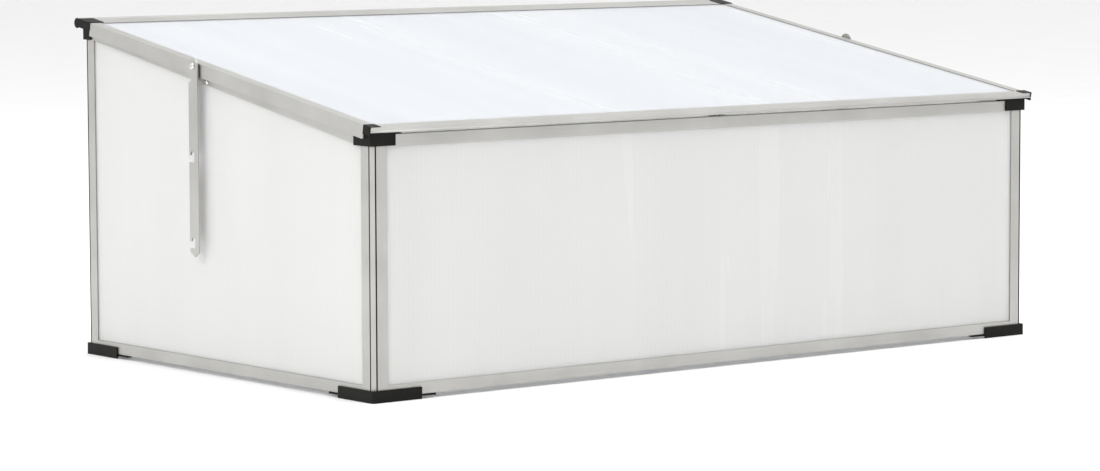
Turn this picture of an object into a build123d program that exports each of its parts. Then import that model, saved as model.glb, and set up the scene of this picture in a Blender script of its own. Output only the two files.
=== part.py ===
from build123d import *
import os
from math import atan, cos, degrees, radians, sin, tan

# Cold frame: a bottomless box of aluminium profiles and twin-wall sheets, with a sloping lid that
# hinges along the back edge and a notched stay arm hanging from each side of the lid.
# Millimetres. +X runs along the width, +Y to the back, +Z up. The origin is on the ground, in the
# middle of the footprint. Every left-hand piece is mirrored to make its right-hand twin.

# ---- driving dimensions -------------------------------------------------------------------------
LID_WIDTH = 1000.0            # over the lid's end caps
LID_FRONT_Y = -300.0          # front edge of the lid
LID_FRONT_Z = 300.0           # top of the lid at its front edge
BODY_X = 493.0                # outer face of the side walls
BODY_FRONT_Y = -292.0         # outer face of the front wall
BODY_BACK_Y = 288.0           # outer face of the back wall
LID_BACK_Z = 398.4            # top of the lid above the back wall's outer face
RAIL_BOTTOM_Z = 5.0           # underside of the bottom rails
FRONT_TOP_Z = 291.6           # top of the front wall
BACK_TOP_Z = 387.2            # top of the back wall

# Body rails: a tall thin channel with a glazing slot on one edge and a chamber on the other.
RAIL_DEPTH = 6.8
RAIL_HEIGHT = 13.4
WALL = 1.2
OVERCUT = 1.0                 # how far a hole is cut past the walls it goes through
SLOT_WIDTH = RAIL_DEPTH - 2 * WALL
SLOT_DEPTH = 8.0
CHAMBER_HEIGHT = RAIL_HEIGHT - SLOT_DEPTH - 2 * WALL
EDGE_ROUND = 0.9

# Corner posts: two flanges, a chamfered corner and a groove on each side of the chamfer.
POST_WIDTH = 20.0
POST_CHAMFER = 4.0
POST_GROOVE_WIDTH = 2.0
POST_GROOVE_DEPTH = 2.4
POST_SLOT_DEPTH = 9.0
POST_CORE = POST_WIDTH - POST_SLOT_DEPTH
PORT_CENTRE = 6.0
PORT_RADIUS = 1.6

# Twin-wall sheet.
SHEET = 4.0
SHEET_SKIN = 0.55
SHEET_RIB = 0.45
FLUTE_PITCH = 6.0
SHEET_TIP_GAP = 0.6

# Moulded feet and caps.
MOULD = 2.0
FOOT_HEIGHT = 13.4
FOOT_LEG = 64.0
FOOT_SHELF_LEG = 84.0
FOOT_SHELF = 2.2
CAP_SKIRT = 13.8
CAP_PLATE = 1.2
CAP_LEG = {"front": 30.7, "back": POST_WIDTH}
CAP_SIDE_LEG = {"front": 31.0, "back": 15.0}
CAP_TAB_LEG = {"front": 40.0, "back": POST_WIDTH}
TONGUE_LENGTH = 20.0
TONGUE_PLAY = 0.1
TONGUE_ROOT_GAP = 0.5
PEG_RADIUS = 1.5
PEG_LENGTH = 12.0

# Lid frame, measured along the slope (s), across (x) and down from the lid's top face (v).
LID_HALF = 499.0
LID_THICK = 6.0
LID_RAIL_WIDTH = 14.0
LID_SLOT_DEPTH = 10.5
LID_SKIRT = 15.5
LID_SKIRT_WALL = 1.2
LID_FACE_INSET = 1.2          # the front rail's face stands behind its lower lip
LID_FRONT_LIP = 1.8
LID_BACK_RAIL_S = 574.0
CLIP_PLATE = 0.8
CLIP_WIDTH = 14.0
CLIP_LENGTH = 13.5
CLIP_SIDE = 9.5
BACK_CLIP_WIDTH = 20.0
BACK_CLIP_START_GAP = 0.5
BACK_CLIP_HINGE_GAP = 3.0

# Hinge: a bead along the back rail, held inside a hooked channel along the lid's back rail.
HINGE_Y = 294.0
HINGE_Z = 394.0
BEAD_RADIUS = 3.5
HINGE_PLAY = 0.06
PLUG_INSET = 0.1              # the back caps' plugs are this much smaller than the bead
HOOK_RADIUS = 6.0
NECK_WIDTH = 2.4
NECK_LENGTH = 10.0
NECK_ANGLE = 225.0
HOOK_OPEN_FROM = 199.0
HOOK_OPEN_TO = 341.0

# Stay arms and their fasteners.
ARM_THICK = 1.9
ARM_WIDTH = 18.0
ARM_Y = 42.0
ARM_INNER_X = 500.7
PIVOT_Z = 353.0
TIP_DROP = 218.0
TIP_BEVEL = 5.0
NOTCH_REACH = 10.3
NOTCH_MOUTH = 8.0
SEAT_WIDTH = 7.1
SEAT_RISE = 4.6
NOTCH_DROPS = (106.0, 204.6)  # from the pivot to the middle of each notch's mouth
PIVOT_SHANK = 2.0
PIVOT_PLAY = 0.06
CLOSED_NOTCH_PLAY = 1.0
HEAD_GAP = 0.1
SHANK_TIP_GAP = 0.2
WASHER_RADIUS = 4.6
HEAD_RADIUS = 4.2
HEAD_HEIGHT = 2.5
HEAD_DOME = 0.8               # rounding of a head's rim, as a share of its height
DRIVE_WIDTH = 2.6
DRIVE_DEPTH = 1.1
CATCH_Y = 49.0
GUIDE_Y = 27.0
CATCH_HEAD_RADIUS = 3.2
CATCH_SHANK = 1.9
CATCH_COLLAR = 2.5
NUT_ACROSS = 6.0
NUT_THICK = 2.6
SHANK_PAST_NUT = 0.8
CATCH_HEAD_STAND = 4.2        # from the side rail's outer face to the stud's head

# ---- worked-out values --------------------------------------------------------------------------
LID_ANGLE = atan((LID_BACK_Z - LID_FRONT_Z) / (BODY_BACK_Y - LID_FRONT_Y))
SPAN_X = 2 * (BODY_X - POST_WIDTH)      # between the posts
SPAN_Y = BODY_BACK_Y - BODY_FRONT_Y - 2 * POST_WIDTH
SIDE_SLOPE = (BACK_TOP_Z - FRONT_TOP_Z) / SPAN_Y
SIDE_ANGLE = atan(SIDE_SLOPE)
FRONT_POST_INNER_Y = BODY_FRONT_Y + POST_WIDTH
TOP_Z = {"front": FRONT_TOP_Z, "back": BACK_TOP_Z}
CORNER_Y = {"front": BODY_FRONT_Y, "back": BODY_BACK_Y}
LID_PLANE = Plane(origin=(0, LID_FRONT_Y, LID_FRONT_Z), x_dir=(1, 0, 0),
                  z_dir=(0, -sin(LID_ANGLE), cos(LID_ANGLE)))
HINGE_LOCAL = LID_PLANE.to_local_coords(Vector(0, HINGE_Y, HINGE_Z))


def lid_point(x, s, v=0.0):
    """A point x across, s up the slope and v below the lid's top face."""
    return LID_PLANE.from_local_coords(Vector(x, s, -v))


def skirt_bottom_z(y):
    """Height of the lower edge of the lid's side skirt."""
    return LID_FRONT_Z + (y - LID_FRONT_Y) * tan(LID_ANGLE) - LID_SKIRT / cos(LID_ANGLE)


def side_rail_bottom_z(y):
    """Height of the lower edge of the sloping side rail."""
    return FRONT_TOP_Z - RAIL_HEIGHT + (y - FRONT_POST_INNER_Y) * SIDE_SLOPE


def catch_z(y):
    """Height of a fastener midway between the lid's skirt and the side rail's lower edge."""
    return (skirt_bottom_z(y) + side_rail_bottom_z(y)) / 2


def save(piece, name):
    """Label a finished piece and write it."""
    piece.part.label = name
    export_step(piece.part, f"parts/{name}.step")


def save_pair(piece, name):
    """Write a left-hand piece and its mirrored right-hand twin."""
    with BuildPart() as twin:
        mirror(piece.part, about=Plane.YZ)
    save(piece, f"{name}_left")
    save(twin, f"{name}_right")


os.makedirs("parts", exist_ok=True)


# ---- body rails ---------------------------------------------------------------------------------
# Profile: x runs inward from the outer face, y runs from the edge that has the chamber.
with BuildSketch() as rail_profile:
    with Locations((RAIL_DEPTH / 2, RAIL_HEIGHT / 2)):
        RectangleRounded(RAIL_DEPTH, RAIL_HEIGHT, EDGE_ROUND)
    with Locations((RAIL_DEPTH / 2, RAIL_HEIGHT - SLOT_DEPTH / 2)):
        Rectangle(SLOT_WIDTH, SLOT_DEPTH, mode=Mode.SUBTRACT)
    with Locations((RAIL_DEPTH / 2, WALL + CHAMBER_HEIGHT / 2)):
        Rectangle(SLOT_WIDTH, CHAMBER_HEIGHT, mode=Mode.SUBTRACT)

# The top rails hang from their chamber edge, with the glazing slot facing down.
with BuildSketch() as hanging_profile:
    mirror(rail_profile.sketch, about=Plane.XZ)


def body_rail(profile, plane, direction, length):
    """A body rail: the profile on the plane, pushed along the direction."""
    with BuildPart() as rail:
        with BuildSketch(plane):
            add(profile.sketch)
        extrude(amount=length, dir=direction)
    return rail


def front_plane(z):
    """Across the left end of the front wall."""
    return Plane(origin=(-SPAN_X / 2, BODY_FRONT_Y, z), x_dir=(0, 1, 0), z_dir=(1, 0, 0))


def back_plane(z):
    """Across the right end of the back wall."""
    return Plane(origin=(SPAN_X / 2, BODY_BACK_Y, z), x_dir=(0, -1, 0), z_dir=(-1, 0, 0))


def left_plane(z):
    """Across the front end of the left wall."""
    return Plane(origin=(-BODY_X, FRONT_POST_INNER_Y, z), x_dir=(1, 0, 0), z_dir=(0, -1, 0))


UP_SLOPE = (0, cos(SIDE_ANGLE), sin(SIDE_ANGLE))

bottom_rail_front = body_rail(rail_profile, front_plane(RAIL_BOTTOM_Z), (1, 0, 0), SPAN_X)
save(bottom_rail_front, "bottom_rail_front")

bottom_rail_back = body_rail(rail_profile, back_plane(RAIL_BOTTOM_Z), (-1, 0, 0), SPAN_X)
save(bottom_rail_back, "bottom_rail_back")

bottom_rail_left = body_rail(rail_profile, left_plane(RAIL_BOTTOM_Z), (0, 1, 0), SPAN_Y)
save_pair(bottom_rail_left, "bottom_rail")

top_rail_front = body_rail(hanging_profile, front_plane(FRONT_TOP_Z), (1, 0, 0), SPAN_X)
save(top_rail_front, "top_rail_front")


def cross_hole(y, z, radius, x_from, x_to):
    """Drill a hole along X through the piece being built."""
    with BuildSketch(Plane(origin=(x_from, y, z), x_dir=(0, 1, 0), z_dir=(1, 0, 0))) as hole:
        Circle(radius)
    extrude(hole.sketch, amount=x_to - x_from, mode=Mode.SUBTRACT)


with BuildPart() as top_rail_left:
    add(body_rail(hanging_profile, left_plane(FRONT_TOP_Z), UP_SLOPE,
                  SPAN_Y / cos(SIDE_ANGLE)).part)
    for fastener_y in (CATCH_Y, GUIDE_Y):
        cross_hole(fastener_y, catch_z(fastener_y), CATCH_SHANK,
                   -BODY_X - OVERCUT, -BODY_X + RAIL_DEPTH + OVERCUT)
save_pair(top_rail_left, "top_rail")

# The back rail carries the hinge bead on a thin neck that rises from its outer corner.
with BuildPart() as hinge_rail:
    add(body_rail(hanging_profile, back_plane(BACK_TOP_Z), (-1, 0, 0), SPAN_X).part)
    with BuildSketch(Plane(origin=(-SPAN_X / 2, 0, 0), x_dir=(0, 1, 0), z_dir=(1, 0, 0))):
        with Locations((HINGE_Y, HINGE_Z)):
            Circle(BEAD_RADIUS)
        with Locations(Location((HINGE_Y, HINGE_Z), NECK_ANGLE)):
            Rectangle(NECK_LENGTH, NECK_WIDTH, align=(Align.MIN, Align.CENTER))
    extrude(amount=SPAN_X)
save(hinge_rail, "hinge_rail")


# ---- corner posts -------------------------------------------------------------------------------
# Corner pieces share one local frame: a runs along the front or back wall, b along the side wall,
# both measured inward from the body's outer faces.
def corner_plane(row, z):
    """The left corner's local frame at height z. It looks down at the back, so a stays along +X."""
    facing = 1 if row == "front" else -1
    return Plane(origin=(-BODY_X, CORNER_Y[row], z), x_dir=(1, 0, 0), z_dir=(0, 0, facing))


def corner_extrude(row, height):
    """Push a corner sketch upward by the height, or downward where it is negative."""
    facing = 1 if row == "front" else -1
    extrude(amount=facing * height)


with BuildSketch() as post_profile:
    with BuildLine():
        Polyline(
            (POST_CHAMFER, 0), (POST_WIDTH, 0), (POST_WIDTH, RAIL_DEPTH), (POST_CORE, RAIL_DEPTH),
            (POST_CORE, POST_CORE), (RAIL_DEPTH, POST_CORE), (RAIL_DEPTH, POST_WIDTH),
            (0, POST_WIDTH), (0, POST_CHAMFER), close=True)
    make_face()
    groove_middle = POST_CHAMFER + POST_GROOVE_WIDTH / 2
    with Locations((groove_middle, POST_GROOVE_DEPTH / 2)):
        Rectangle(POST_GROOVE_WIDTH, POST_GROOVE_DEPTH, mode=Mode.SUBTRACT)
    with Locations((POST_GROOVE_DEPTH / 2, groove_middle)):
        Rectangle(POST_GROOVE_DEPTH, POST_GROOVE_WIDTH, mode=Mode.SUBTRACT)
    slot_middle = POST_WIDTH - POST_SLOT_DEPTH / 2
    with Locations((slot_middle, RAIL_DEPTH / 2)):
        Rectangle(POST_SLOT_DEPTH, SLOT_WIDTH, mode=Mode.SUBTRACT)
    with Locations((RAIL_DEPTH / 2, slot_middle)):
        Rectangle(SLOT_WIDTH, POST_SLOT_DEPTH, mode=Mode.SUBTRACT)
    with Locations((PORT_CENTRE, PORT_CENTRE)):
        Circle(PORT_RADIUS, mode=Mode.SUBTRACT)

for row in ("front", "back"):
    with BuildPart() as post:
        with BuildSketch(corner_plane(row, RAIL_BOTTOM_Z)):
            add(post_profile.sketch)
        corner_extrude(row, TOP_Z[row] - RAIL_BOTTOM_Z)
    save_pair(post, f"post_{row}")


# ---- feet and top caps --------------------------------------------------------------------------
def skirt_sketch(front_leg, side_leg):
    """An L-shaped wall that wraps the outside of a corner."""
    with BuildSketch() as skirt:
        with Locations((-MOULD, -MOULD)):
            Rectangle(front_leg + MOULD, side_leg + MOULD, align=(Align.MIN, Align.MIN))
        fillet(skirt.vertices().sort_by(lambda v: v.X + v.Y)[0], MOULD)
        Rectangle(front_leg, side_leg, align=(Align.MIN, Align.MIN), mode=Mode.SUBTRACT)
    return skirt


def shelf_sketch(front_leg, side_leg):
    """The L-shaped plate that the post and the rails meet."""
    with BuildSketch() as shelf:
        Rectangle(POST_WIDTH, POST_WIDTH, align=(Align.MIN, Align.MIN))
        Rectangle(front_leg, RAIL_DEPTH, align=(Align.MIN, Align.MIN))
        Rectangle(RAIL_DEPTH, side_leg, align=(Align.MIN, Align.MIN))
    return shelf


TONGUE_WIDTH = SLOT_WIDTH - 2 * TONGUE_PLAY
TONGUE_HEIGHT = CHAMBER_HEIGHT - 2 * TONGUE_PLAY
TONGUE_ROOT = POST_SLOT_DEPTH - TONGUE_ROOT_GAP
TONGUE_OFFSET = WALL + TONGUE_PLAY     # from the rail's closed edge to the tongue


def tongues(row, low_z, slope_rise):
    """Add the two tongues that enter the rails, from the post's slots into the rails' chambers."""
    middle = RAIL_DEPTH / 2
    across = Plane(origin=(-BODY_X + POST_WIDTH - TONGUE_ROOT, 0, 0),
                   x_dir=(0, 1, 0), z_dir=(1, 0, 0))
    inward = 1 if row == "front" else -1
    with BuildSketch(across) as section:
        with Locations((CORNER_Y[row] + inward * middle, low_z + TONGUE_HEIGHT / 2)):
            Rectangle(TONGUE_WIDTH, TONGUE_HEIGHT)
    extrude(section.sketch, amount=TONGUE_ROOT + TONGUE_LENGTH)
    end_y = CORNER_Y[row] + inward * POST_WIDTH
    root_y = end_y - inward * TONGUE_ROOT
    for start_y, length, rise in ((root_y, TONGUE_ROOT, 0.0), (end_y, TONGUE_LENGTH, slope_rise)):
        start = Plane(origin=(0, start_y, 0), x_dir=(1, 0, 0), z_dir=(0, -1, 0))
        with BuildSketch(start) as section:
            with Locations((-BODY_X + middle, low_z + TONGUE_HEIGHT / 2)):
                Rectangle(TONGUE_WIDTH, TONGUE_HEIGHT)
        extrude(section.sketch, amount=length, dir=(0, inward, rise))


def tongue_roots(row, low_z, height):
    """Add the stubs that join the tongues to the plate through the post's slots."""
    root_middle = POST_WIDTH - TONGUE_ROOT / 2
    with BuildSketch(corner_plane(row, low_z)) as stubs:
        with Locations((root_middle, RAIL_DEPTH / 2)):
            Rectangle(TONGUE_ROOT, TONGUE_WIDTH)
        with Locations((RAIL_DEPTH / 2, root_middle)):
            Rectangle(TONGUE_WIDTH, TONGUE_ROOT)
    extrude(stubs.sketch, amount=height, dir=(0, 0, 1))


for row in ("front", "back"):
    with BuildPart() as foot:
        with BuildSketch(corner_plane(row, 0)):
            add(skirt_sketch(FOOT_LEG, FOOT_LEG).sketch)
        corner_extrude(row, FOOT_HEIGHT)
        with BuildSketch(corner_plane(row, RAIL_BOTTOM_Z - FOOT_SHELF)):
            add(shelf_sketch(FOOT_SHELF_LEG, FOOT_SHELF_LEG).sketch)
        corner_extrude(row, FOOT_SHELF)
        with BuildSketch(corner_plane(row, 0)):
            Rectangle(POST_WIDTH, POST_WIDTH, align=(Align.MIN, Align.MIN))
        corner_extrude(row, RAIL_BOTTOM_Z)
        with BuildSketch(corner_plane(row, RAIL_BOTTOM_Z)):
            with Locations((PORT_CENTRE, PORT_CENTRE)):
                Circle(PEG_RADIUS)
        corner_extrude(row, PEG_LENGTH)
        tongues(row, RAIL_BOTTOM_Z + TONGUE_OFFSET, 0.0)
        tongue_roots(row, RAIL_BOTTOM_Z, TONGUE_OFFSET + TONGUE_HEIGHT)
    save_pair(foot, f"foot_{row}")

for row in ("front", "back"):
    top_z = TOP_Z[row]
    inward = 1 if row == "front" else -1
    tongue_low_z = top_z - TONGUE_OFFSET - TONGUE_HEIGHT
    with BuildPart() as top_cap:
        with BuildSketch(corner_plane(row, top_z + CAP_PLATE - CAP_SKIRT)):
            add(skirt_sketch(CAP_LEG[row], CAP_SIDE_LEG[row]).sketch)
        corner_extrude(row, CAP_SKIRT)
        with BuildSketch(corner_plane(row, top_z)):
            add(shelf_sketch(CAP_TAB_LEG[row], POST_WIDTH).sketch)
        corner_extrude(row, CAP_PLATE)
        with BuildSketch(corner_plane(row, top_z)):
            with Locations((PORT_CENTRE, PORT_CENTRE)):
                Circle(PEG_RADIUS)
        corner_extrude(row, -PEG_LENGTH)
        tongues(row, tongue_low_z, inward * SIDE_SLOPE)
        tongue_roots(row, tongue_low_z, TONGUE_OFFSET + TONGUE_HEIGHT)
    save_pair(top_cap, f"top_cap_{row}")


# ---- twin-wall sheets ---------------------------------------------------------------------------
def twin_wall_sketch(length):
    """Cross-section of a sheet: two skins and upright ribs, with the flutes left hollow."""
    flutes = int(length // FLUTE_PITCH) - 1
    with BuildSketch() as section:
        Rectangle(length, SHEET)
        with GridLocations(FLUTE_PITCH, 1, flutes, 1):
            Rectangle(FLUTE_PITCH - SHEET_RIB, SHEET - 2 * SHEET_SKIN, mode=Mode.SUBTRACT)
    return section


SHEET_BOTTOM_Z = RAIL_BOTTOM_Z + RAIL_HEIGHT - SLOT_DEPTH + SHEET_TIP_GAP
SHEET_MIDDLE = RAIL_DEPTH / 2
EDGE_IN_POST = POST_CORE + SHEET_TIP_GAP
WALL_SHEET_WIDTH = 2 * (BODY_X - EDGE_IN_POST)
SIDE_SHEET_WIDTH = BODY_BACK_Y - BODY_FRONT_Y - 2 * EDGE_IN_POST
SIDE_MIDDLE_Y = (BODY_FRONT_Y + BODY_BACK_Y) / 2

for row, sheet_y in (("front", BODY_FRONT_Y + SHEET_MIDDLE), ("back", BODY_BACK_Y - SHEET_MIDDLE)):
    sheet_top_z = TOP_Z[row] - RAIL_HEIGHT + SLOT_DEPTH - SHEET_TIP_GAP
    with BuildPart() as panel:
        with BuildSketch(Plane(origin=(0, sheet_y, SHEET_BOTTOM_Z))):
            add(twin_wall_sketch(WALL_SHEET_WIDTH).sketch)
        extrude(amount=sheet_top_z - SHEET_BOTTOM_Z)
    save(panel, f"panel_{row}")

# The side sheets are cut to the slope of the side rails, and drilled for the two fasteners.
sheet_left_x = -BODY_X + SHEET_MIDDLE
with BuildPart() as panel_left:
    with BuildSketch(Plane(origin=(sheet_left_x, SIDE_MIDDLE_Y, SHEET_BOTTOM_Z),
                           x_dir=(0, 1, 0), z_dir=(0, 0, 1))):
        add(twin_wall_sketch(SIDE_SHEET_WIDTH).sketch)
    extrude(amount=BACK_TOP_Z)
    slope_start_z = side_rail_bottom_z(SIDE_MIDDLE_Y) + SLOT_DEPTH - SHEET_TIP_GAP
    split(bisect_by=Plane(origin=(0, SIDE_MIDDLE_Y, slope_start_z), x_dir=(1, 0, 0),
                          z_dir=(0, -sin(SIDE_ANGLE), cos(SIDE_ANGLE))), keep=Keep.BOTTOM)
    for fastener_y in (CATCH_Y, GUIDE_Y):
        cross_hole(fastener_y, catch_z(fastener_y), CATCH_SHANK,
                   -BODY_X, -BODY_X + RAIL_DEPTH)
save_pair(panel_left, "panel")


# ---- lid frame ----------------------------------------------------------------------------------
# Profile of a lid edge: x runs inward from the outer edge, y runs down from the top face.
def lid_edge_sketch(skirt_depth):
    """A thin glazing channel, with a skirt down its outer edge where one is wanted."""
    with BuildSketch() as edge:
        Rectangle(LID_RAIL_WIDTH, LID_THICK, align=(Align.MIN, Align.MIN))
        if skirt_depth > LID_THICK:
            Rectangle(LID_SKIRT_WALL, skirt_depth, align=(Align.MIN, Align.MIN))
        fillet(edge.vertices().sort_by(lambda v: v.X + v.Y)[0], EDGE_ROUND)
        with Locations((LID_RAIL_WIDTH, LID_THICK / 2)):
            Rectangle(LID_SLOT_DEPTH, SLOT_WIDTH, align=(Align.MAX, Align.CENTER),
                      mode=Mode.SUBTRACT)
    return edge


SLOPE_DIR = (0, cos(LID_ANGLE), sin(LID_ANGLE))

with BuildPart() as lid_rail_front:
    with BuildSketch(Plane(origin=lid_point(LID_HALF, 0), x_dir=SLOPE_DIR, z_dir=(-1, 0, 0))):
        add(lid_edge_sketch(LID_THICK).sketch)
        # Set the face back above a sloping lower lip.
        lip_top = LID_THICK - LID_FRONT_LIP
        with BuildLine():
            Polyline((0, 0), (LID_FACE_INSET, 0), (LID_FACE_INSET, lip_top),
                     (0, lip_top + LID_FACE_INSET), close=True)
        make_face(mode=Mode.SUBTRACT)
    extrude(amount=2 * LID_HALF)
save(lid_rail_front, "lid_rail_front")

with BuildPart() as lid_rail_left:
    with BuildSketch(Plane(origin=lid_point(-LID_HALF, LID_RAIL_WIDTH), x_dir=(1, 0, 0),
                           z_dir=SLOPE_DIR)):
        add(lid_edge_sketch(LID_SKIRT).sketch)
    extrude(amount=LID_BACK_RAIL_S - LID_RAIL_WIDTH)
    # The skirt's front lower corner is rounded.
    skirt_front = lid_rail_left.edges().filter_by(Axis.X).sort_by(Axis.Z)[0]
    fillet(skirt_front, LID_SKIRT_WALL)
    # The pivot screw's hole stops at the glazing slot.
    cross_hole(ARM_Y, PIVOT_Z, PIVOT_SHANK, -LID_HALF - OVERCUT,
               -LID_HALF + LID_RAIL_WIDTH - LID_SLOT_DEPTH)
save_pair(lid_rail_left, "lid_rail")

# Back rail: the glazing channel runs into the hook that wraps the hinge bead. The sketch plane's
# x is the slope and its y is the lid's upward normal, so angles are turned by the lid's slope.
HOOK_BORE = BEAD_RADIUS + HINGE_PLAY
OPEN_START = HOOK_OPEN_FROM - degrees(LID_ANGLE)
OPEN_END = HOOK_OPEN_TO - degrees(LID_ANGLE)
WEDGE_REACH = 2 * HOOK_RADIUS


def hinge_ray(angle, reach):
    """A point at an angle and distance from the hinge axis, in the back rail's sketch."""
    return (HINGE_LOCAL.Y + reach * cos(radians(angle)), HINGE_LOCAL.Z + reach * sin(radians(angle)))


with BuildPart() as lid_rail_back:
    with BuildSketch(Plane(origin=lid_point(-LID_HALF, 0), x_dir=SLOPE_DIR, z_dir=(1, 0, 0))):
        with Locations((LID_BACK_RAIL_S, 0)):
            Rectangle(HINGE_LOCAL.Y - LID_BACK_RAIL_S, LID_THICK, align=(Align.MIN, Align.MAX))
        with Locations((HINGE_LOCAL.Y, HINGE_LOCAL.Z)):
            Circle(HOOK_RADIUS)
            Circle(HOOK_BORE, mode=Mode.SUBTRACT)
        with Locations((LID_BACK_RAIL_S, -LID_THICK / 2)):
            Rectangle(LID_SLOT_DEPTH, SLOT_WIDTH, align=(Align.MIN, Align.CENTER),
                      mode=Mode.SUBTRACT)
        with BuildLine():
            Polyline((HINGE_LOCAL.Y, HINGE_LOCAL.Z), hinge_ray(OPEN_START, WEDGE_REACH),
                     hinge_ray((OPEN_START + OPEN_END) / 2, WEDGE_REACH),
                     hinge_ray(OPEN_END, WEDGE_REACH), close=True)
        make_face(mode=Mode.SUBTRACT)
    extrude(amount=2 * LID_HALF)
save(lid_rail_back, "lid_rail_back")

# The lid's sheet has its flutes running down the slope.
LID_SHEET_EDGE = LID_RAIL_WIDTH - LID_SLOT_DEPTH + SHEET_TIP_GAP
LID_SHEET_WIDTH = 2 * (LID_HALF - LID_SHEET_EDGE)
LID_SHEET_END = LID_BACK_RAIL_S + LID_SLOT_DEPTH - SHEET_TIP_GAP
with BuildPart() as lid_panel:
    with BuildSketch(Plane(origin=lid_point(0, LID_SHEET_EDGE, LID_THICK / 2), x_dir=(1, 0, 0),
                           z_dir=SLOPE_DIR)):
        add(twin_wall_sketch(LID_SHEET_WIDTH).sketch)
    extrude(amount=LID_SHEET_END - LID_SHEET_EDGE)
save(lid_panel, "lid_panel")


# ---- lid corner clips ---------------------------------------------------------------------------
def clip_plate(width, start_s, length, v, thickness):
    """A thin plate lying on or under the lid's left corner."""
    corner = Plane(origin=lid_point(-LID_WIDTH / 2, start_s, v), x_dir=(1, 0, 0),
                   z_dir=LID_PLANE.z_dir)
    with BuildSketch(corner) as plate:
        Rectangle(width, length, align=(Align.MIN, Align.MIN))
    extrude(plate.sketch, amount=thickness)


END_PLATE = LID_WIDTH / 2 - LID_HALF
CLIP_START = 0.3

with BuildPart() as lid_cap_front:
    with BuildSketch(Plane(origin=lid_point(-LID_WIDTH / 2, 0), x_dir=SLOPE_DIR,
                           z_dir=(1, 0, 0))):
        with Locations((CLIP_START, CLIP_PLATE)):
            Rectangle(CLIP_LENGTH - CLIP_START, CLIP_SIDE + CLIP_PLATE,
                      align=(Align.MIN, Align.MAX))
    extrude(amount=END_PLATE)
    clip_plate(CLIP_WIDTH, CLIP_START, CLIP_LENGTH - CLIP_START, 0, CLIP_PLATE)
    clip_plate(CLIP_WIDTH, CLIP_START, CLIP_LENGTH - CLIP_START,
               LID_THICK + CLIP_PLATE, CLIP_PLATE)
save_pair(lid_cap_front, "lid_cap_front")

BACK_CLIP_S = LID_BACK_RAIL_S + BACK_CLIP_START_GAP
BACK_CLIP_END = HINGE_LOCAL.Y - BACK_CLIP_HINGE_GAP
PLUG_RADIUS = BEAD_RADIUS - PLUG_INSET
PLUG_LENGTH = 15.0
with BuildPart() as lid_cap_back:
    end_plane = Plane(origin=lid_point(-LID_WIDTH / 2, 0), x_dir=SLOPE_DIR, z_dir=(1, 0, 0))
    with BuildSketch(end_plane):
        with Locations((BACK_CLIP_S, CLIP_PLATE)):
            Rectangle(BACK_CLIP_END - BACK_CLIP_S, CLIP_SIDE + CLIP_PLATE,
                      align=(Align.MIN, Align.MAX))
        with Locations((HINGE_LOCAL.Y, HINGE_LOCAL.Z)):
            Circle(HOOK_RADIUS)
    extrude(amount=END_PLATE)
    with BuildSketch(end_plane):
        with Locations((HINGE_LOCAL.Y, HINGE_LOCAL.Z)):
            Circle(PLUG_RADIUS)
    extrude(amount=END_PLATE + PLUG_LENGTH)
    clip_plate(BACK_CLIP_WIDTH, BACK_CLIP_S, BACK_CLIP_END - BACK_CLIP_S, 0, CLIP_PLATE)
save_pair(lid_cap_back, "lid_cap_back")


# ---- stay arms ----------------------------------------------------------------------------------
# Each arm hangs from the lid. Two J-shaped notches open on its back edge, each with a raised round
# seat, and a short round notch near the pivot clears the catch stud when the lid is shut.
ARM_BACK_Y = ARM_Y + ARM_WIDTH / 2
ARM_ROUND = ARM_WIDTH / 2
SEAT_ROUND = SEAT_WIDTH / 2
CLOSED_NOTCH_ROUND = CATCH_HEAD_RADIUS + CLOSED_NOTCH_PLAY

with BuildPart() as stay_arm_left:
    with BuildSketch(Plane(origin=(-ARM_INNER_X - ARM_THICK, 0, 0), x_dir=(0, 1, 0),
                           z_dir=(1, 0, 0))):
        with Locations((ARM_Y, PIVOT_Z)):
            Circle(ARM_ROUND)
            Rectangle(ARM_WIDTH, TIP_DROP, align=(Align.CENTER, Align.MAX))
        tip_z = PIVOT_Z - TIP_DROP
        for corner_y in (ARM_Y - ARM_ROUND, ARM_Y + ARM_ROUND):
            with BuildLine():
                Polyline((corner_y, tip_z), (corner_y, tip_z + TIP_BEVEL),
                         (ARM_Y, tip_z), close=True)
            make_face(mode=Mode.SUBTRACT)
        for drop in NOTCH_DROPS:
            mouth_top_z = PIVOT_Z - drop + NOTCH_MOUTH / 2
            seat_y = ARM_BACK_Y - NOTCH_REACH + SEAT_ROUND
            with Locations((ARM_BACK_Y, mouth_top_z)):
                Rectangle(NOTCH_REACH, NOTCH_MOUTH, align=(Align.MAX, Align.MAX),
                          mode=Mode.SUBTRACT)
            with Locations((seat_y, mouth_top_z + SEAT_RISE - SEAT_ROUND)):
                Circle(SEAT_ROUND, mode=Mode.SUBTRACT)
            with Locations((seat_y, mouth_top_z)):
                Rectangle(SEAT_WIDTH, SEAT_RISE - SEAT_ROUND, align=(Align.CENTER, Align.MIN),
                          mode=Mode.SUBTRACT)
        with Locations((CATCH_Y, catch_z(CATCH_Y))):
            Circle(CLOSED_NOTCH_ROUND, mode=Mode.SUBTRACT)
            Rectangle(ARM_WIDTH, 2 * CLOSED_NOTCH_ROUND, align=(Align.MIN, Align.CENTER),
                      mode=Mode.SUBTRACT)
        with Locations((ARM_Y, PIVOT_Z)):
            Circle(PIVOT_SHANK + PIVOT_PLAY, mode=Mode.SUBTRACT)
    extrude(amount=ARM_THICK)
save_pair(stay_arm_left, "stay_arm")


# ---- fasteners ----------------------------------------------------------------------------------
def x_plane(x, y, z):
    """A sketch plane facing -X, out of the left side, centred on a fastener."""
    return Plane(origin=(x, y, z), x_dir=(0, -1, 0), z_dir=(-1, 0, 0))


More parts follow.
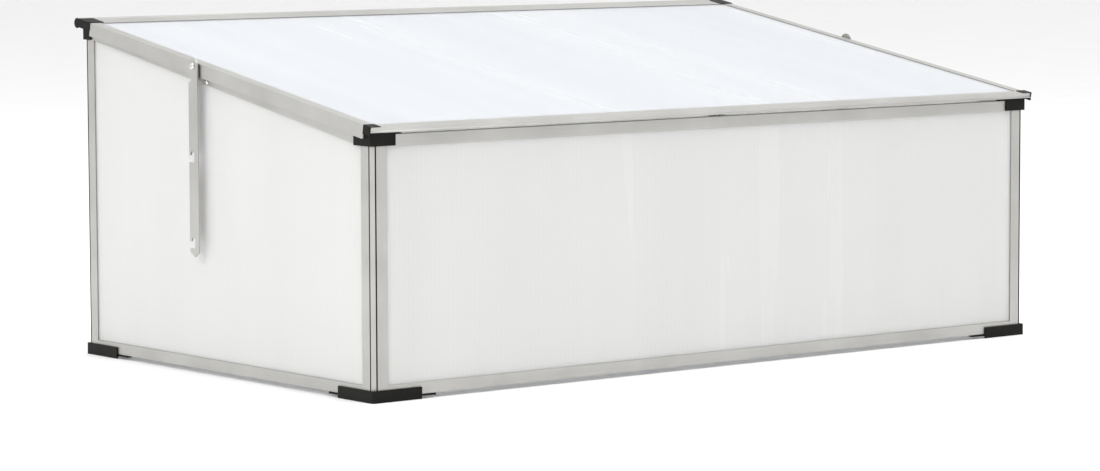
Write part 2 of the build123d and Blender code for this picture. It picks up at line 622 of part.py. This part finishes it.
def domed_head(x, y, z, radius, height):
    """A domed head standing out of the left side, with a hexagon drive."""
    with BuildPart() as head:
        with BuildSketch(x_plane(x, y, z)):
            Circle(radius)
        extrude(amount=height)
        fillet(head.edges().sort_by(Axis.X)[0], height * HEAD_DOME)
        with BuildSketch(x_plane(x - height, y, z)):
            RegularPolygon(DRIVE_WIDTH / 2, 6, major_radius=False)
        extrude(amount=-DRIVE_DEPTH, mode=Mode.SUBTRACT)
    return head


def shank(x_outer, x_inner, y, z, radius):
    """A round shank from its outer end to its inner end."""
    with BuildSketch(x_plane(x_inner, y, z)) as section:
        Circle(radius)
    extrude(section.sketch, amount=x_inner - x_outer)


HEAD_X = -(ARM_INNER_X + ARM_THICK + HEAD_GAP)
with BuildPart() as pivot_screw_left:
    add(domed_head(HEAD_X, ARM_Y, PIVOT_Z, HEAD_RADIUS, HEAD_HEIGHT).part)
    shank_tip_x = -LID_HALF + LID_RAIL_WIDTH - LID_SLOT_DEPTH - SHANK_TIP_GAP
    shank(HEAD_X, shank_tip_x, ARM_Y, PIVOT_Z, PIVOT_SHANK)
save_pair(pivot_screw_left, "pivot_screw")

with BuildPart() as pivot_washer_left:
    with BuildSketch(x_plane(-LID_HALF, ARM_Y, PIVOT_Z)):
        Circle(WASHER_RADIUS)
        Circle(PIVOT_SHANK, mode=Mode.SUBTRACT)
    extrude(amount=ARM_INNER_X - LID_HALF - HEAD_GAP)
save_pair(pivot_washer_left, "pivot_washer")

NUT_SEAT_X = -BODY_X + RAIL_DEPTH
SHANK_END_X = NUT_SEAT_X + NUT_THICK + SHANK_PAST_NUT
CATCH_HEAD_X = -BODY_X - CATCH_HEAD_STAND
CATCH_HEAD = 2.3
with BuildPart() as catch_stud_left:
    add(domed_head(CATCH_HEAD_X, CATCH_Y, catch_z(CATCH_Y), CATCH_HEAD_RADIUS, CATCH_HEAD).part)
    shank(CATCH_HEAD_X, -BODY_X, CATCH_Y, catch_z(CATCH_Y), CATCH_COLLAR)
    shank(-BODY_X, SHANK_END_X, CATCH_Y, catch_z(CATCH_Y), CATCH_SHANK)
save_pair(catch_stud_left, "catch_stud")

with BuildPart() as guide_screw_left:
    add(domed_head(-BODY_X, GUIDE_Y, catch_z(GUIDE_Y), CATCH_HEAD_RADIUS, CATCH_HEAD).part)
    shank(-BODY_X, SHANK_END_X, GUIDE_Y, catch_z(GUIDE_Y), CATCH_SHANK)
save_pair(guide_screw_left, "guide_screw")

with BuildPart() as rail_nuts_left:
    for fastener_y in (CATCH_Y, GUIDE_Y):
        with BuildSketch(x_plane(NUT_SEAT_X, fastener_y, catch_z(fastener_y))):
            RegularPolygon(NUT_ACROSS / 2, 6, major_radius=False)
            Circle(CATCH_SHANK, mode=Mode.SUBTRACT)
        extrude(amount=-NUT_THICK)
save_pair(rail_nuts_left, "rail_nuts")
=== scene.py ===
import math

import bpy
from mathutils import Euler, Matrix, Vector


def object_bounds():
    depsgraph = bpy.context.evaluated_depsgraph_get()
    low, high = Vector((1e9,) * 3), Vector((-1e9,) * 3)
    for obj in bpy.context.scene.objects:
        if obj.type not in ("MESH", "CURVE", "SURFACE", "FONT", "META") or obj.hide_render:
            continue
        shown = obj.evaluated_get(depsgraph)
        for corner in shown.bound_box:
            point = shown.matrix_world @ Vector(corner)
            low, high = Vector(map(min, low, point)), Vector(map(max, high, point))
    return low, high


# A cold frame: satin aluminium profiles, milky twin-wall sheets, black moulded feet and corner
# caps, and two notched stay arms with bright screws. Everything is in metres, in the CAD's frame.

# The camera stands in front of the left corner, a little above the lid.
CAMERA_PLACE = (-2.988, -3.783, 0.585)
CAMERA_PITCH = math.radians(5.37)
CAMERA_YAW = math.radians(40.24)
CAMERA_LENS = 130.4
CAMERA_SENSOR = 36.0
CAMERA_SHIFT_X = -0.134

# The surround's light: the direction it is brightest in, how far a direction leans that way where
# the glow is weakest and strongest, and those two glows.
BRIGHT_SIDE = (-0.25, 0.71, 0.66)
DIM_LEAN = -0.7
BRIGHT_LEAN = 0.5
DIM_SURROUND = 0.75
BRIGHT_SURROUND = 1.03

# Each lamp's name, place, width and power. They all face the middle of the object.
MIDDLE = (0.0, 0.0, 0.2)
LAMPS = (
    ("key_left", (-3.4, -0.6, 2.6), 2.4, 40.0),
    ("overhead", (0.3, -0.6, 3.6), 3.0, 80.0),
)

# The floor runs back, bends and rises as a backdrop.
FLOOR_HALF_WIDTH = 14.0
FLOOR_BACK = 9.0
BACKDROP_TOP = 9.0
BEND_RADIUS = 3.0
BEND_STEPS = 12
FLOOR_DARK = (0.94, 0.94, 0.94)
FLOOR_LIGHT = (0.96, 0.96, 0.96)

# Aluminium: its two shades, the die lines', clouds' and grain's scales, and the painted shade in
# grooves.
LID_SLOPE = math.radians(9.5)
ALUMINIUM_DARK = (0.45, 0.445, 0.425)
ALUMINIUM_LIGHT = (0.52, 0.515, 0.495)
DIE_LINES_ALONG = 8.0
DIE_LINES_ACROSS = 900.0
METAL_CLOUDS = 14.0
METAL_GRAIN = 2600.0
METAL_DEPTH = 0.0002
# Painted shade: how far the darkening in grooves and gaps reaches, and its darkest tone.
PAINTED_SHADE_REACH = 0.005
PAINTED_SHADE_DARKEST = 0.10

# Black plastic.
PLASTIC_DARK = (0.006, 0.006, 0.005)
PLASTIC_LIGHT = (0.011, 0.011, 0.010)
PLASTIC_GRAIN = 1500.0
PLASTIC_PATCHES = 60.0
PLASTIC_DEPTH = 0.0003

# Twin-wall sheet. A wave texture turns through 20 radians in each unit of length.
FLUTE_PITCH = 0.006
WAVE_RATE = 20.0
SHEET_IOR = 1.585
SHEET_CLOUDS_ACROSS = 18.0
SHEET_CLOUDS_ALONG = 1.2
CLOUD_SHARE = 0.35
MILKINESS = 0.5
RIB_DEPTH = 0.0004
WALL_TINT = (0.97, 0.97, 0.965)
WALL_STREAKS = 0.018
WALL_CLEAR = 0.36
LID_TINT = (0.93, 0.94, 0.955)
LID_STREAKS = 0.02
LID_CLEAR = 0.30

# Bright plating.
PLATING_DARK = (0.62, 0.62, 0.61)
PLATING_LIGHT = (0.78, 0.78, 0.76)
PLATING_MOTTLE = 700.0

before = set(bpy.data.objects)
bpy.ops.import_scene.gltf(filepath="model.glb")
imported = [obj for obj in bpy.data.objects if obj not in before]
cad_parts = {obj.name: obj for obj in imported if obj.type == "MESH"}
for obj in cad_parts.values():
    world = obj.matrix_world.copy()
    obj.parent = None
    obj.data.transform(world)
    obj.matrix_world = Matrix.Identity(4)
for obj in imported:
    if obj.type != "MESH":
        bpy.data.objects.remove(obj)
cad_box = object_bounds()


# ---- node helpers -------------------------------------------------------------------------------
class Shader:
    """One material's nodes, with short calls to add and join them."""

    def __init__(self, name):
        self.material = bpy.data.materials.new(name)
        self.material.use_nodes = True
        self.tree = self.material.node_tree
        self.tree.nodes.clear()
        self.out = self.tree.nodes.new("ShaderNodeOutputMaterial")

    def add(self, kind, **settings):
        node = self.tree.nodes.new(kind)
        for key, value in settings.items():
            setattr(node, key, value)
        return node

    def join(self, source, target):
        self.tree.links.new(source, target)

    def place(self, scale=(1.0, 1.0, 1.0), turn=(0.0, 0.0, 0.0)):
        """Object coordinates, turned and stretched."""
        coordinates = self.add("ShaderNodeTexCoord")
        mapping = self.add("ShaderNodeMapping")
        mapping.inputs["Rotation"].default_value = turn
        mapping.inputs["Scale"].default_value = scale
        self.join(coordinates.outputs["Object"], mapping.inputs["Vector"])
        return mapping.outputs["Vector"]

    def noise(self, vector, scale, detail=3.0, roughness=0.5):
        node = self.add("ShaderNodeTexNoise")
        node.inputs["Scale"].default_value = scale
        node.inputs["Detail"].default_value = detail
        node.inputs["Roughness"].default_value = roughness
        self.join(vector, node.inputs["Vector"])
        return node.outputs["Fac"]

    def spread(self, value, low, high, from_low=0.3, from_high=0.7):
        """Maps a texture's value to the span from low to high."""
        node = self.add("ShaderNodeMapRange")
        node.inputs["From Min"].default_value = from_low
        node.inputs["From Max"].default_value = from_high
        node.inputs["To Min"].default_value = low
        node.inputs["To Max"].default_value = high
        self.join(value, node.inputs["Value"])
        return node.outputs["Result"]

    def ramp(self, value, *stops):
        """A colour ramp through (position, colour) stops."""
        node = self.add("ShaderNodeValToRGB")
        elements = node.color_ramp.elements
        while len(elements) < len(stops):
            elements.new(0.5)
        for element, (position, colour) in zip(elements, stops):
            element.position = position
            element.color = (*colour, 1.0)
        self.join(value, node.inputs["Fac"])
        return node.outputs["Color"]

    def painted_crease_shade(self, colour, reach, darkest):
        """Painted shade: darkens the colour in grooves and gaps narrower than the reach."""
        occlusion = self.add("ShaderNodeAmbientOcclusion", samples=6)
        occlusion.inputs["Distance"].default_value = reach
        shade = self.ramp(occlusion.outputs["AO"], (0.15, (darkest,) * 3), (0.75, (1.0,) * 3))
        return self.multiply(colour, shade, 1.0)

    def multiply(self, first, second, share):
        """Multiplies two colours, as strongly as the share says. Sockets 6, 7 and 2 are colours."""
        mix = self.add("ShaderNodeMix", data_type="RGBA", blend_type="MULTIPLY")
        mix.inputs["Factor"].default_value = share
        self.join(first, mix.inputs[6])
        self.join(second, mix.inputs[7])
        return mix.outputs[2]

    def blend(self, first, second, share):
        """Mixes two shaders. The share is how much of the second one shows."""
        mix = self.add("ShaderNodeMixShader")
        mix.inputs["Fac"].default_value = share
        self.join(first, mix.inputs[1])
        self.join(second, mix.inputs[2])
        return mix.outputs["Shader"]

    def bump(self, height, strength, distance, normal=None):
        node = self.add("ShaderNodeBump")
        node.inputs["Strength"].default_value = strength
        node.inputs["Distance"].default_value = distance
        self.join(height, node.inputs["Height"])
        if normal is not None:
            self.join(normal, node.inputs["Normal"])
        return node.outputs["Normal"]


# ---- materials ----------------------------------------------------------------------------------
def satin_aluminium(name, along, turn=(0.0, 0.0, 0.0)):
    """Extruded aluminium: faint die lines along the profile, a soft cloudy sheen, and painted shade
    in grooves and gaps.
    """
    shader = Shader(name)
    stretch = tuple(DIE_LINES_ALONG if axis == along else DIE_LINES_ACROSS for axis in range(3))
    lines = shader.noise(shader.place(stretch, turn), 1.0, detail=2.0)
    clouds = shader.noise(shader.place(), METAL_CLOUDS, detail=4.0)
    grain = shader.noise(shader.place(), METAL_GRAIN, detail=2.0)
    surface = shader.add("ShaderNodeBsdfPrincipled")
    surface.inputs["Metallic"].default_value = 0.86
    surface.inputs["Specular IOR Level"].default_value = 0.5
    colour = shader.ramp(clouds, (0.30, ALUMINIUM_DARK), (0.70, ALUMINIUM_LIGHT))
    # Painted shade: the base colour is darkened in grooves and in gaps between parts.
    shader.join(shader.painted_crease_shade(colour, PAINTED_SHADE_REACH, PAINTED_SHADE_DARKEST), surface.inputs["Base Color"])
    shader.join(shader.spread(lines, 0.36, 0.50), surface.inputs["Roughness"])
    fine = shader.bump(grain, 0.06, METAL_DEPTH)
    shader.join(shader.bump(lines, 0.10, METAL_DEPTH, fine), surface.inputs["Normal"])
    shader.join(surface.outputs["BSDF"], shader.out.inputs["Surface"])
    return shader.material


def black_plastic():
    """Moulded black plastic with a fine spark-eroded grain and rubbed, paler patches."""
    shader = Shader("moulded_black_plastic")
    grain = shader.noise(shader.place(), PLASTIC_GRAIN, detail=3.0)
    patches = shader.noise(shader.place(), PLASTIC_PATCHES, detail=4.0)
    surface = shader.add("ShaderNodeBsdfPrincipled")
    surface.inputs["Specular IOR Level"].default_value = 0.13
    colour = shader.ramp(patches, (0.35, PLASTIC_DARK), (0.75, PLASTIC_LIGHT))
    shader.join(colour, surface.inputs["Base Color"])
    shader.join(shader.spread(patches, 0.42, 0.58), surface.inputs["Roughness"])
    shader.join(shader.bump(grain, 0.18, PLASTIC_DEPTH), surface.inputs["Normal"])
    shader.join(surface.outputs["BSDF"], shader.out.inputs["Surface"])
    return shader.material


def twin_wall(name, across, tint, streaks, clear):
    """Milky twin-wall sheet: ribs show as faint lines at the flute pitch, with soft cloudiness."""
    shader = Shader(name)
    stretch = tuple(1.0 if axis == across else 0.0 for axis in range(3))
    ribs = shader.add("ShaderNodeTexWave", wave_type="BANDS", bands_direction="XYZ"[across])
    ribs.inputs["Scale"].default_value = math.tau / (WAVE_RATE * FLUTE_PITCH)
    shader.join(shader.place(stretch), ribs.inputs["Vector"])
    soft = tuple(SHEET_CLOUDS_ACROSS if axis == across else SHEET_CLOUDS_ALONG for axis in range(3))
    clouds = shader.noise(shader.place(soft), 1.0, detail=3.0)
    surface = shader.add("ShaderNodeBsdfPrincipled")
    surface.inputs["IOR"].default_value = SHEET_IOR
    surface.inputs["Specular IOR Level"].default_value = 0.4
    pale = tuple(channel * (1.0 - streaks) for channel in tint)
    rib_colour = shader.ramp(ribs.outputs["Fac"], (0.0, pale), (0.35, tint))
    cloud_colour = shader.ramp(clouds, (0.25, pale), (0.65, (1.0, 1.0, 1.0)))
    colour = shader.multiply(rib_colour, cloud_colour, CLOUD_SHARE)
    shader.join(colour, surface.inputs["Base Color"])
    shader.join(shader.spread(clouds, 0.23, 0.28), surface.inputs["Roughness"])
    shader.join(shader.bump(ribs.outputs["Fac"], 0.03, RIB_DEPTH), surface.inputs["Normal"])
    glow = shader.add("ShaderNodeBsdfTranslucent")
    shader.join(colour, glow.inputs["Color"])
    milky = shader.blend(surface.outputs["BSDF"], glow.outputs["BSDF"], MILKINESS)
    see_through = shader.add("ShaderNodeBsdfTransparent")
    whole = shader.blend(milky, see_through.outputs["BSDF"], clear)
    shader.join(whole, shader.out.inputs["Surface"])
    return shader.material


def bright_plating():
    """Bright zinc plating with a faint mottle."""
    shader = Shader("bright_plating")
    mottle = shader.noise(shader.place(), PLATING_MOTTLE, detail=3.0)
    surface = shader.add("ShaderNodeBsdfPrincipled")
    surface.inputs["Metallic"].default_value = 1.0
    colour = shader.ramp(mottle, (0.3, PLATING_DARK), (0.7, PLATING_LIGHT))
    shader.join(colour, surface.inputs["Base Color"])
    shader.join(shader.spread(mottle, 0.10, 0.22), surface.inputs["Roughness"])
    shader.join(surface.outputs["BSDF"], shader.out.inputs["Surface"])
    return shader.material


ALONG_X = satin_aluminium("satin_aluminium_along_x", 0)
ALONG_Y = satin_aluminium("satin_aluminium_along_y", 1, (-LID_SLOPE, 0.0, 0.0))
ALONG_Z = satin_aluminium("satin_aluminium_along_z", 2)
BLACK = black_plastic()
SHEET_ACROSS_X = twin_wall("twin_wall_front_and_back", 0, WALL_TINT, WALL_STREAKS, WALL_CLEAR)
SHEET_ACROSS_Y = twin_wall("twin_wall_sides", 1, WALL_TINT, WALL_STREAKS, WALL_CLEAR)
LID_SHEET = twin_wall("twin_wall_lid", 0, LID_TINT, LID_STREAKS, LID_CLEAR)
PLATED = bright_plating()

# Each CAD node's material, by how its name starts. The first match is used.
FINISHES = (
    ("post", ALONG_Z),
    ("stay_arm", ALONG_Z),
    ("foot", BLACK),
    ("top_cap", BLACK),
    ("lid_cap", BLACK),
    ("lid_panel", LID_SHEET),
    ("panel_front", SHEET_ACROSS_X),
    ("panel_back", SHEET_ACROSS_X),
    ("panel", SHEET_ACROSS_Y),
    ("pivot", PLATED),
    ("catch_stud", PLATED),
    ("guide_screw", PLATED),
    ("rail_nuts", PLATED),
    ("bottom_rail_left", ALONG_Y),
    ("bottom_rail_right", ALONG_Y),
    ("top_rail_left", ALONG_Y),
    ("top_rail_right", ALONG_Y),
    ("lid_rail_left", ALONG_Y),
    ("lid_rail_right", ALONG_Y),
    ("", ALONG_X),
)


def finish_for(name):
    return next(material for start, material in FINISHES if name.startswith(start))


for name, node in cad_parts.items():
    node.data.materials.clear()
    node.data.materials.append(finish_for(name))


# ---- floor, light and camera --------------------------------------------------------------------
def studio_floor():
    """A wide pale floor that curves up into a pale backdrop far behind."""
    ground = cad_box[0][2]
    outline = [(-FLOOR_HALF_WIDTH, ground)]
    for step in range(BEND_STEPS + 1):
        angle = math.pi / 2 * step / BEND_STEPS
        outline.append((FLOOR_BACK + BEND_RADIUS * math.sin(angle),
                        BEND_RADIUS - BEND_RADIUS * math.cos(angle)))
    outline.append((FLOOR_BACK + BEND_RADIUS, BACKDROP_TOP))
    vertices = [(x, y, z) for x in (-FLOOR_HALF_WIDTH, FLOOR_HALF_WIDTH) for y, z in outline]
    count = len(outline)
    faces = [(i, count + i, count + i + 1, i + 1) for i in range(count - 1)]
    mesh = bpy.data.meshes.new("studio_floor")
    mesh.from_pydata(vertices, [], faces)
    mesh.polygons.foreach_set("use_smooth", [True] * len(faces))
    floor = bpy.data.objects.new("studio_floor", mesh)
    bpy.context.scene.collection.objects.link(floor)
    shader = Shader("pale_floor")
    mottle = shader.noise(shader.place(), 6.0, detail=4.0)
    surface = shader.add("ShaderNodeBsdfPrincipled")
    surface.inputs["Roughness"].default_value = 0.7
    colour = shader.ramp(mottle, (0.3, FLOOR_DARK), (0.7, FLOOR_LIGHT))
    shader.join(colour, surface.inputs["Base Color"])
    shader.join(surface.outputs["BSDF"], shader.out.inputs["Surface"])
    mesh.materials.append(shader.material)


def area_light(name, place, size, power):
    light = bpy.data.lights.new(name, "AREA")
    light.shape = "SQUARE"
    light.size = size
    light.energy = power
    lamp = bpy.data.objects.new(name, light)
    lamp.location = place
    lamp.rotation_euler = (Vector(MIDDLE) - Vector(place)).to_track_quat("-Z", "Y").to_euler()
    bpy.context.scene.collection.objects.link(lamp)


def studio_light():
    world = bpy.data.worlds.new("pale_surround")
    world.use_nodes = True
    tree = world.node_tree
    background = tree.nodes["Background"]
    background.inputs["Color"].default_value = (1.0, 1.0, 1.0, 1.0)
    # The surround is brightest above, behind and to the left, and darker in front.
    coordinates = tree.nodes.new("ShaderNodeTexCoord")
    lean = tree.nodes.new("ShaderNodeVectorMath")
    lean.operation = "DOT_PRODUCT"
    lean.inputs[1].default_value = BRIGHT_SIDE
    tree.links.new(coordinates.outputs["Generated"], lean.inputs[0])
    spread = tree.nodes.new("ShaderNodeMapRange")
    spread.interpolation_type = "SMOOTHSTEP"
    spread.inputs["From Min"].default_value = DIM_LEAN
    spread.inputs["From Max"].default_value = BRIGHT_LEAN
    spread.inputs["To Min"].default_value = DIM_SURROUND
    spread.inputs["To Max"].default_value = BRIGHT_SURROUND
    tree.links.new(lean.outputs["Value"], spread.inputs["Value"])
    tree.links.new(spread.outputs["Result"], background.inputs["Strength"])
    bpy.context.scene.world = world
    for name, place, size, power in LAMPS:
        area_light(name, place, size, power)


def photo_camera():
    camera = bpy.data.cameras.new("camera")
    camera.lens = CAMERA_LENS
    camera.sensor_width = CAMERA_SENSOR
    camera.shift_x = CAMERA_SHIFT_X
    holder = bpy.data.objects.new("camera", camera)
    holder.location = CAMERA_PLACE
    holder.rotation_euler = Euler((math.pi / 2 - CAMERA_PITCH, 0.0, -CAMERA_YAW))
    bpy.context.scene.collection.objects.link(holder)
    bpy.context.scene.camera = holder


studio_floor()
studio_light()
photo_camera()
bpy.context.scene.view_settings.view_transform = "Standard"
